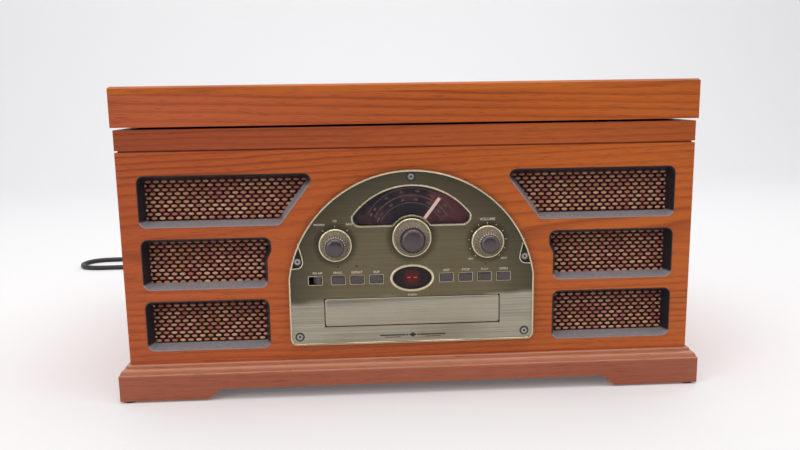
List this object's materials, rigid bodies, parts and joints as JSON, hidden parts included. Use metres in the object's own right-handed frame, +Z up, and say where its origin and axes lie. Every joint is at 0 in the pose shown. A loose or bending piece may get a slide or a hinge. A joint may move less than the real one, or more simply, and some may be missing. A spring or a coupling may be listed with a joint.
{
  "type": "radio phonograph console",
  "caption": "Table-top wooden radio and record player console with a lift-up lid, arched metal control panel, dial, disc drawer and grille openings",
  "frame": {"origin": "middle of the floor under the console, counting the knobs in front and the base moulding behind", "axes": "+X to the right seen from the front, +Y from the control panel to the back, +Z up"},
  "size_m": [0.6922, 0.5728, 0.2535],
  "materials": {
    "cabinet_veneer": "satin lacquered veneer",
    "lid_veneer": "satin lacquered veneer",
    "base_wood": "satin stained solid wood",
    "inner_board": "raw board",
    "rubber": "matte",
    "mat_rubber": "matte ribbed",
    "black_moulding": "fine texture",
    "red_moulding": "gloss",
    "white_moulding": "natural",
    "button_moulding": "satin",
    "grille_cloth": "woven",
    "brass_fittings": "plated",
    "antique_brass": "brushed antique",
    "bright_steel": "polished",
    "plated_steel": "zinc plated",
    "arm_silver": "anodised",
    "speaker_paper": "pressed paper",
    "dial_glass": "tinted clear",
    "dial_print": "printed",
    "knob_metal": "antique bronze",
    "pointer_paint": "gloss",
    "circuit_board": "lacquered laminate",
    "display_red": "tinted window",
    "cord_vinyl": "smooth vinyl"
  },
  "bodies": {
    "root": {"front_baffle": "cabinet_veneer", "side_panels": "cabinet_veneer", "back_panel": "inner_board", "bottom_board": "inner_board", "plinth": "base_wood", "base_moulding": "base_wood", "rubber_feet": "rubber", "band_frame": "cabinet_veneer", "deck": "black_moulding", "grille_cloths": "grille_cloth", "hinge_lower_leaves": "brass_fittings", "stay_track": "brass_fittings", "spindle": "bright_steel", "drive_belt": "rubber", "drive_motor": "plated_steel", "tonearm_mount": "black_moulding", "speaker_frames": "plated_steel", "speaker_cones": "speaker_paper", "faceplate": "antique_brass", "panel_backing": "black_moulding", "screws": "bright_steel", "dial_lens": "dial_glass", "dial_scale": "dial_print", "control_board": "circuit_board", "display_module": "display_red", "cd_loader": "black_moulding", "audio_board": "circuit_board", "transformer": "plated_steel", "strain_relief": "cord_vinyl", "power_cord": "cord_vinyl", "cord_coil": "cord_vinyl", "power_plug": "cord_vinyl"},
    "lid": {"lid_frame": "lid_veneer", "lid_top": "lid_veneer", "hinge_upper_leaves": "brass_fittings"},
    "stay_arm": {"stay_arm": "brass_fittings"},
    "platter": {"platter": "black_moulding", "platter_mat": "mat_rubber"},
    "motor_pulley": {"motor_pulley": "brass_fittings"},
    "tonearm_pivot": {"tonearm_pivot": "bright_steel"},
    "tonearm": {"tonearm": "arm_silver", "cartridge": "red_moulding"},
    "cue_lever": {"cue_lever": "black_moulding"},
    "speed_lever": {"speed_lever": "black_moulding"},
    "tuning_knob": {"tuning_knob": "knob_metal", "dial_pointer": "pointer_paint"},
    "capacitor_gear": {"capacitor_gear": "brass_fittings"},
    "selector_knob": {"selector_knob": "knob_metal"},
    "volume_knob": {"volume_knob": "knob_metal"},
    "button_skip_back": {"button_skip_back": "button_moulding"},
    "button_repeat": {"button_repeat": "button_moulding"},
    "button_program": {"button_program": "button_moulding"},
    "button_skip_forward": {"button_skip_forward": "button_moulding"},
    "button_stop": {"button_stop": "button_moulding"},
    "button_play": {"button_play": "button_moulding"},
    "button_open": {"button_open": "button_moulding"},
    "band_slider": {"band_slider": "button_moulding"},
    "cd_tray": {"cd_tray": "black_moulding", "cd_door": "antique_brass"},
    "loader_pinion": {"loader_pinion": "white_moulding"}
  },
  "joints": [
    {"name": "lid_hinge", "type": "hinge", "parent": "root", "child": "lid", "pos_m": [0, 0.18, 0.22115], "axis": [-1, 0, 0], "range_deg": [0, 66]},
    {"name": "lid_stay", "type": "hinge", "parent": "lid", "child": "stay_arm", "pos_m": [0.219, 0.07011, 0.22595], "axis": [-1, 0, 0], "range_deg": [-134, 2]},
    {"name": "platter_spin", "type": "hinge", "parent": "root", "child": "platter", "pos_m": [-0.04, 0.0065, 0.215], "axis": [0, 0, -1], "continuous": true},
    {"name": "pulley_spin", "type": "hinge", "parent": "root", "child": "motor_pulley", "pos_m": [-0.1001, -0.0536, 0.21], "axis": [0, 0, -1], "continuous": true},
    {"name": "tonearm_swing", "type": "hinge", "parent": "root", "child": "tonearm_pivot", "pos_m": [0.15, 0.0985, 0.22], "axis": [0, 0, -1], "range_deg": [0, 50]},
    {"name": "tonearm_lift", "type": "hinge", "parent": "tonearm_pivot", "child": "tonearm", "pos_m": [0.15, 0.0985, 0.232], "axis": [-1, 0, 0], "range_deg": [0, 3]},
    {"name": "cue_lever_tilt", "type": "hinge", "parent": "root", "child": "cue_lever", "pos_m": [0.169, 0.0865, 0.2162], "axis": [0, -1, 0], "range_deg": [0, 50]},
    {"name": "speed_lever_turn", "type": "hinge", "parent": "root", "child": "speed_lever", "pos_m": [0.188, -0.0895, 0.209], "axis": [0, 0, 1], "range_deg": [-30, 30]},
    {"name": "tuning_turn", "type": "hinge", "parent": "root", "child": "tuning_knob", "pos_m": [0, -0.17, 0.1308], "axis": [0, 1, 0], "range_deg": [-104, 30]},
    {"name": "capacitor_turn", "type": "hinge", "parent": "root", "child": "capacitor_gear", "pos_m": [0.018, -0.1535, 0.11998], "axis": [0, 1, 0], "range_deg": [-45, 145]},
    {"name": "selector_turn", "type": "hinge", "parent": "root", "child": "selector_knob", "pos_m": [-0.0615, -0.17, 0.126], "axis": [0, 1, 0], "range_deg": [-45, 45]},
    {"name": "volume_turn", "type": "hinge", "parent": "root", "child": "volume_knob", "pos_m": [0.0615, -0.17, 0.126], "axis": [0, 1, 0], "range_deg": [-150, 150]},
    {"name": "button_skip_back_press", "type": "slide", "parent": "root", "child": "button_skip_back", "axis": [0, 1, 0], "range_m": [0, 0.0012], "stiffness_N_per_m": 300},
    {"name": "button_repeat_press", "type": "slide", "parent": "root", "child": "button_repeat", "axis": [0, 1, 0], "range_m": [0, 0.0012], "stiffness_N_per_m": 300},
    {"name": "button_program_press", "type": "slide", "parent": "root", "child": "button_program", "axis": [0, 1, 0], "range_m": [0, 0.0012], "stiffness_N_per_m": 300},
    {"name": "button_skip_forward_press", "type": "slide", "parent": "root", "child": "button_skip_forward", "axis": [0, 1, 0], "range_m": [0, 0.0012], "stiffness_N_per_m": 300},
    {"name": "button_stop_press", "type": "slide", "parent": "root", "child": "button_stop", "axis": [0, 1, 0], "range_m": [0, 0.0012], "stiffness_N_per_m": 300},
    {"name": "button_play_press", "type": "slide", "parent": "root", "child": "button_play", "axis": [0, 1, 0], "range_m": [0, 0.0012], "stiffness_N_per_m": 300},
    {"name": "button_open_press", "type": "slide", "parent": "root", "child": "button_open", "axis": [0, 1, 0], "range_m": [0, 0.0012], "stiffness_N_per_m": 300},
    {"name": "band_slide", "type": "slide", "parent": "root", "child": "band_slider", "axis": [-1, 0, 0], "range_m": [0, 0.0055]},
    {"name": "tray_slide", "type": "slide", "parent": "root", "child": "cd_tray", "axis": [0, -1, 0], "range_m": [0, 0.13]},
    {"name": "loader_pinion_turn", "type": "hinge", "parent": "root", "child": "loader_pinion", "pos_m": [-0.0752, -0.1475, 0.066], "axis": [0, 0, -1], "range_deg": [-10, 940]}
  ],
  "couplings": [
    {"joint": "lid_stay", "follows": "lid_hinge", "ratio": -2},
    {"joint": "pulley_spin", "follows": "platter_spin", "ratio": 10},
    {"joint": "cue_lever_tilt", "follows": "tonearm_lift", "ratio": 16.6},
    {"joint": "capacitor_turn", "follows": "tuning_turn", "ratio": -1.3333},
    {"joint": "loader_pinion_turn", "follows": "tray_slide", "rad_per_m": 125}
  ]
}
